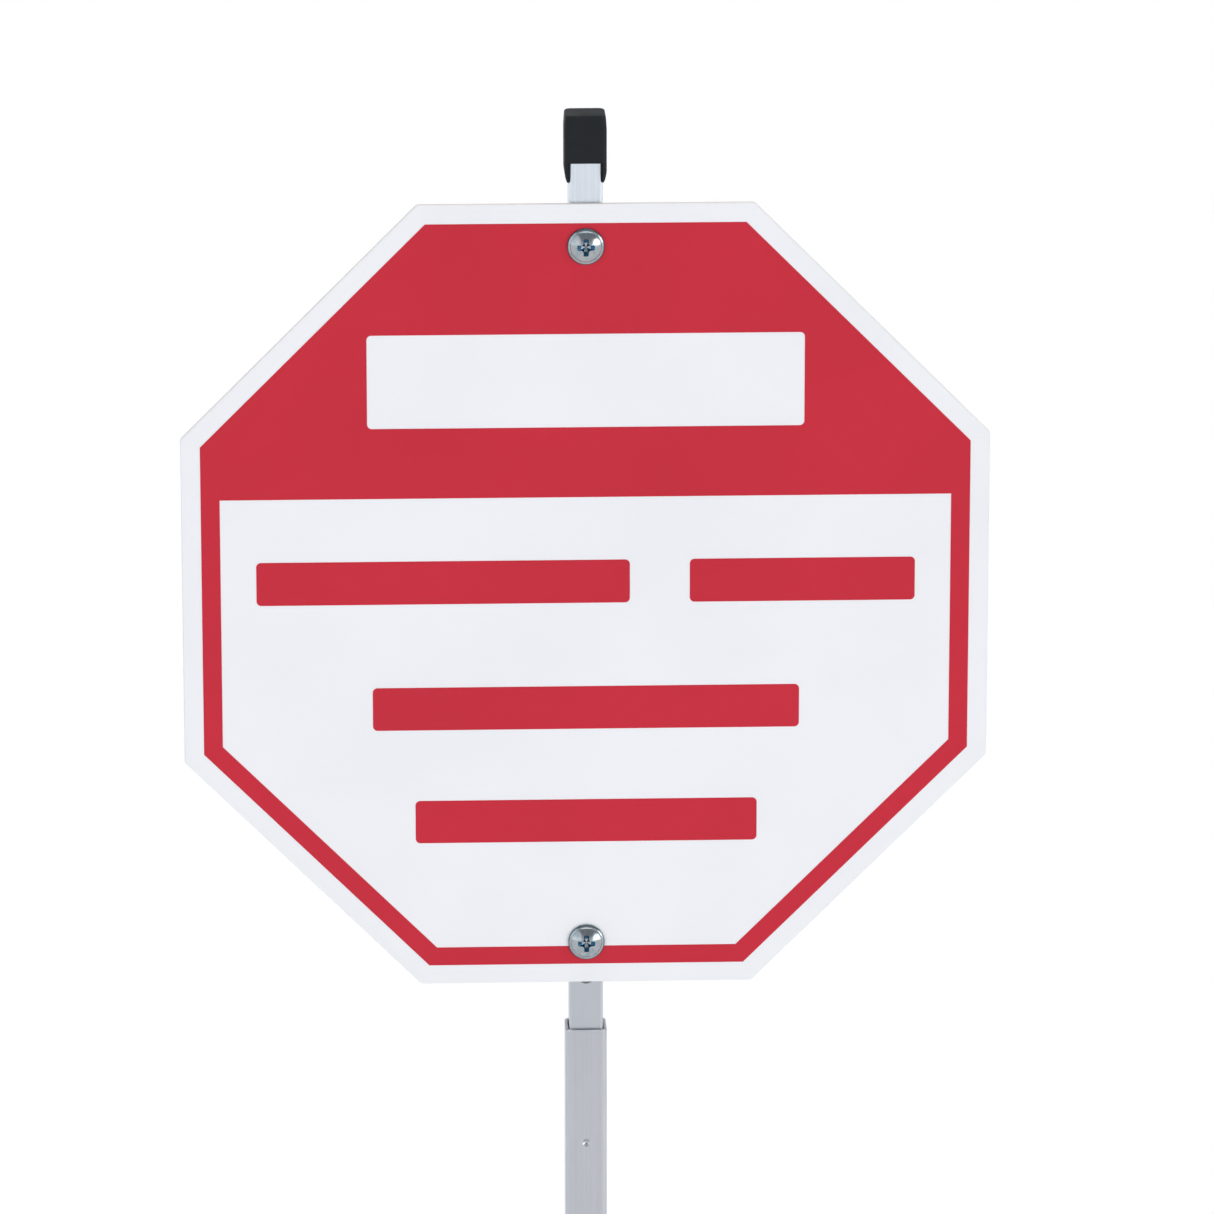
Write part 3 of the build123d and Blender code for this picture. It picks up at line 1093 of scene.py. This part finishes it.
@dataclass
class SignFastener:
    """One collar-head machine screw with its washer and lock nut."""

    place: str
    thread: float = 5.0
    pitch: float = 0.8
    thread_depth: float = 0.49
    thread_step: float = 0.1
    crest: float = 0.125  # the crest's flat as a share of the pitch
    flank: float = 0.625  # a flank as a share of half the pitch
    plain_length: float = 1.2
    end_break: float = 0.5
    head_height: float = 2.9
    shank_flare: float = 0.15  # how much further the shank reaches out where it meets the seat
    collar_radius: float = 5.8
    collar_rim: Steps = (  # inset from the collar's radius, and height over the seat
        (0.18, 0.0),
        (0.04, 0.06),
        (0.0, 0.2),
        (0.01, 0.42),
        (0.06, 0.58),
        (0.17, 0.7),
        (0.33, 0.78),
    )
    collar_top: Steps = ((0.26, 0.92), (0.2, 0.94), (0.04, 0.94))  # distance from the dome's edge, and height
    dome_radius: float = 4.88  # where the dome meets the collar
    dome_height: float = 1.02  # that ring's height over the seat
    dome_sphere: float = 7.3
    dome_rings: int = 9
    dome_margin: float = 0.2  # from the last round ring to the recess's reach
    lip: CrossLevel = CrossLevel(0.8, 2.75, 0.85)
    lip_blend: tuple[float, ...] = (0.35, 0.7, 1.0)  # how far the rings have turned from round to the lip
    mouth: CrossLevel = CrossLevel(0.75, 2.7, 0.85)
    mouth_depth: float = 0.07  # below the dome
    sill: CrossLevel = CrossLevel(0.594, 1.595, 0.4)
    sill_depth: float = 1.3  # below the head's top, as the next two are
    floor: CrossLevel = CrossLevel(0.55, 1.45, 0.4)
    floor_depth: float = 1.36
    centre_radius: float = 0.04
    centre_depth: float = 1.9
    facet_reach: float = 24.0  # half angle about each arm of a floor facet that keeps the plain zinc, in degrees

    def build(self, finishes: FastenerFinishes) -> None:
        """Builds the screw, and finishes the frame's own washer, nut and insert.

        Args:
            finishes: the fasteners' finishes.
        """
        node = f"{self.place}_sign_screw"
        metals = [finishes.zinc, finishes.recess, finishes.rim]
        fit_out(self.screw(node), Body.UPPER, node, metals)
        dress_node(f"{self.place}_washer", finishes.zinc)
        dress_node(f"{self.place}_lock_nut", finishes.zinc)
        dress_node(f"{self.place}_nut_insert", finishes.nylon)

    def head_profile(self) -> Flat:
        """Gives the collar's rounding, sloping rim and the dome.

        Returns:
            Radius and height over the seat, from the thread to the recess.
        """
        profile = [(self.thread / 2 + self.shank_flare, 0.0)]
        profile += [(self.collar_radius - inset, height) for inset, height in self.collar_rim]
        profile += [(self.dome_radius + outset, height) for outset, height in self.collar_top]
        last = self.mouth.half_span + self.dome_margin
        for ring in range(self.dome_rings + 1):
            radius = self.dome_radius + (last - self.dome_radius) * ring / self.dome_rings
            profile.append((radius, self.on_dome(radius)))
        return profile

    def on_dome(self, radius: float) -> float:
        """Gives the dome's height over the seat at a radius."""
        rise = [math.sqrt(self.dome_sphere**2 - reach**2) for reach in (radius, self.dome_radius)]
        return self.dome_height + rise[0] - rise[1]

    def dome_ring(self, outline: Flat, sunk: float, seat: float, axis: float) -> Ring:
        """Lays an outline on the dome.

        Args:
            outline: the outline about the screw's axis.
            sunk: how far below the dome it lies.
            seat: depth of the head's seat behind the origin.
            axis: the screw's height in metres.

        Returns:
            The ring.
        """
        ring = []
        for x, z in outline:
            depth = seat - self.on_dome(math.hypot(x, z)) + sunk
            ring.append(Vector((x * MM, depth * MM, axis + z * MM)))
        return ring

    def screw(self, node: str) -> Piece:
        """Builds the screw as one skin of rings, from the thread's end to the recess's floor.

        Args:
            node: the frame node that gives its place.

        Returns:
            The screw.
        """
        low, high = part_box(node)
        axis = (low.z + high.z) / 2
        seat = low.y / MM + self.head_height
        lip, mouth, floor = self.lip.outline(), self.mouth.outline(), self.floor.outline()
        turns = [math.atan2(z, x) for x, z in mouth]
        rings = self.thread_rings(turns, seat, high.y / MM, axis)
        thread_rings = len(rings)
        for radius, height in self.head_profile():
            rings.append(facing_ring(circle(radius, turns), (seat - height) * MM, axis))
        last = circle(radius, turns)
        for share in self.lip_blend:
            between = [(a + (c - a) * share, b + (d - b) * share) for (a, b), (c, d) in zip(last, lip)]
            rings.append(self.dome_ring(between, 0.0, seat, axis))
        above_recess = len(rings) - 1
        rings.append(self.dome_ring(mouth, self.mouth_depth, seat, axis))
        for outline, depth in (
            (self.sill.outline(), self.sill_depth),
            (floor, self.floor_depth),
            (circle(self.centre_radius, turns), self.centre_depth),
        ):
            rings.append(facing_ring(outline, (seat - self.head_height + depth) * MM, axis))
        screw = loft(f"{self.place}_collar_screw", rings)
        self.colour(screw, floor, thread_rings, above_recess)
        smooth(screw, crease=28)
        return screw

    def colour(self, screw: Piece, floor: Flat, thread_rings: int, above_recess: int) -> None:
        """Marks the faces of the recess and of the collar's seat and rim for their finishes with painted
        shade.

        Args:
            screw: the screw, whose faces run ring after ring behind its two end faces.
            floor: the ring about the four facets at the recess's bottom, which keep the plain zinc without
                painted shade.
            thread_rings: how many rings come before the head.
            above_recess: how many rings come before the one at the recess's edge.
        """
        ends, count = 2, len(floor)
        faces = screw.data.polygons
        rim = ends + thread_rings * count
        # painted shade and reflection on the collar's rim
        for face in faces[rim : rim + len(self.collar_rim) * count]:
            face.material_index = ScrewSkin.RIM
        # painted shade in the driver recess; its bottom facets keep the plain zinc
        for face in faces[ends + above_recess * count :]:
            face.material_index = ScrewSkin.RECESS
        for face, (x, z) in zip(faces[-count:], floor):
            away = math.degrees(math.atan2(z, x)) % 90
            if not self.facet_reach < away < 90 - self.facet_reach:
                face.material_index = ScrewSkin.ZINC

    def thread_rings(self, turns: list[float], seat: float, end: float, axis: float) -> list[Ring]:
        """Gives the shank's rings, from its free end to the head, with a rolled 60 degree thread.

        Args:
            turns: the angles of each ring's points.
            seat: depth of the head's seat behind the origin.
            end: depth of the screw's free end.
            axis: the screw's height in metres.

        Returns:
            The rings.
        """
        start = seat + self.plain_length
        count = round((end - start) / self.thread_step)
        rings: list[Ring] = []
        for index in range(count, -1, -1):
            depth = start + (end - start) * index / count
            run_in = min(1.0, (depth - start) / self.pitch)
            limit = self.thread / 2 - max(0.0, self.end_break - (end - depth))
            ring = []
            for turn in turns:
                phase = (depth / self.pitch - turn / (2 * math.pi)) % 1
                fall = min(1.0, max(0.0, (abs(2 * phase - 1) - self.crest) / self.flank))
                radius = min(self.thread / 2 - self.thread_depth * fall * run_in, limit)
                ring.append((radius * math.cos(turn), radius * math.sin(turn)))
            rings.append(facing_ring(ring, depth * MM, axis))
        return rings


# ---- studio


def toward(azimuth: float, elevation: float) -> Vector:
    """Gives the direction from the object to a bearing in degrees, from the front toward +X and upward."""
    a, e = math.radians(azimuth), math.radians(elevation)
    return Vector((math.sin(a) * math.cos(e), -math.cos(a) * math.cos(e), math.sin(e)))


@dataclass(frozen=True)
class Lamp:
    """One broad soft light far away."""

    name: str
    bearing: Span  # azimuth and elevation, in degrees
    strength: float  # its power on a surface that faces it, in watts per square metre
    width: float  # the angle that it fills, in degrees
    colour: str

    def hang(self) -> None:
        """Adds the light to the scene."""
        data = bpy.data.lights.new(self.name, "SUN")
        data.energy = self.strength
        data.angle = math.radians(self.width)
        data.color = linear(self.colour)[:3]
        lamp = bpy.data.objects.new(self.name, data)
        lamp.rotation_mode = "QUATERNION"
        lamp.rotation_quaternion = (-toward(*self.bearing)).to_track_quat("-Z", "Y")
        bpy.context.scene.collection.objects.link(lamp)


@dataclass
class Studio:
    """Plain pale floor, soft light and the camera."""

    floor_reach: float = 30.0  # metres each way
    floor_squares: int = 12
    lamps: tuple[Lamp, ...] = (
        Lamp("key_light", (58, 3), 1.5, 46, "#FFFDFA"),
        Lamp("top_light", (175, 74), 2.1, 70, "#FFFDFB"),
        Lamp("left_fill", (-62, 8), 0.85, 74, "#F4F8FF"),
    )
    horizon: str = "#EEF1F6"
    overhead: str = "#9C9EA3"
    fall_off: Span = (0.02, 0.42)  # sines of the heights between which the one colour turns to the other
    azimuth: float = -2.23  # the camera's bearing, in degrees
    elevation: float = 15.34
    distance: float = 2.455  # metres from the camera to the point it aims at
    lens: float = 231.0
    aim_right: float = 6.6  # from the middle of the sign's face to the point that the camera aims at
    aim_drop: float = 3.0

    def build(self) -> None:
        """Builds the floor, the lights and the camera."""
        self.floor()
        self.world()
        for lamp in self.lamps:
            lamp.hang()
        self.camera()

    def floor(self) -> None:
        """Lays the floor under the object's lowest point."""
        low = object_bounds()[0]
        squares = self.floor_squares
        mesh = bmesh.new()
        bmesh.ops.create_grid(mesh, x_segments=squares, y_segments=squares, size=self.floor_reach)
        bmesh.ops.translate(mesh, vec=(0, 0, low.z), verts=mesh.verts[:])
        floor = link_mesh("studio_floor", mesh)
        floor.data.materials.append(StudioPaint("matt_white_paint", "#F4F4F5", "#ECECEE", 0.8).make())
        floor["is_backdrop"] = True

    def world(self) -> None:
        """Fills the room with a pale light that falls off overhead."""
        world = bpy.data.worlds.new("studio")
        bpy.context.scene.world = world
        world.use_nodes = True
        tree = world.node_tree
        tree.nodes.clear()
        place = add_node(tree, "TexCoord")
        height = add_node(tree, "SeparateXYZ", links={"Vector": place.outputs["Generated"]}).outputs["Z"]
        heights = {"From Min": self.fall_off[0], "From Max": self.fall_off[1]}
        share = add_node(tree, "MapRange", heights, {"Value": height}).outputs["Result"]
        colours = {"data_type": "RGBA", Mix.A: linear(self.horizon), Mix.B: linear(self.overhead)}
        blend = add_node(tree, "Mix", colours, {Mix.FACTOR: share})
        background = add_node(tree, "Background", {"Strength": 1.0}, {"Color": blend.outputs[Mix.RESULT]})
        add_node(tree, "OutputWorld", links={"Surface": background.outputs["Background"]})

    def camera(self) -> None:
        """Sets the camera in front of the sign, a little above it and to its left."""
        low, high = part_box("sign_plate")
        aim = Vector((self.aim_right * MM, low.y, (low.z + high.z) / 2 - self.aim_drop * MM))
        data = bpy.data.cameras.new("camera")
        data.lens = self.lens
        camera = bpy.data.objects.new("camera", data)
        back = toward(self.azimuth, self.elevation)
        camera.location = aim + back * self.distance
        camera.rotation_mode = "QUATERNION"
        camera.rotation_quaternion = (-back).to_track_quat("-Z", "Y")
        bpy.context.scene.collection.objects.link(camera)
        bpy.context.scene.camera = camera
        bpy.context.scene.view_settings.view_transform = "Standard"


def main() -> None:
    """Builds the signpost and its studio around the frame."""
    logging.basicConfig(level=logging.INFO, format="%(name)s: %(message)s")
    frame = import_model()
    finishes = FastenerFinishes.make()
    SignPanel().build()
    Stake(mount_height(frame, "spare_hole")).build()
    DrivingCap().build()
    GroundPoint().build()
    for place in ("upper", "lower"):
        SignFastener(place).build(finishes)
    Studio().build()


if __name__ == "__main__":
    main()
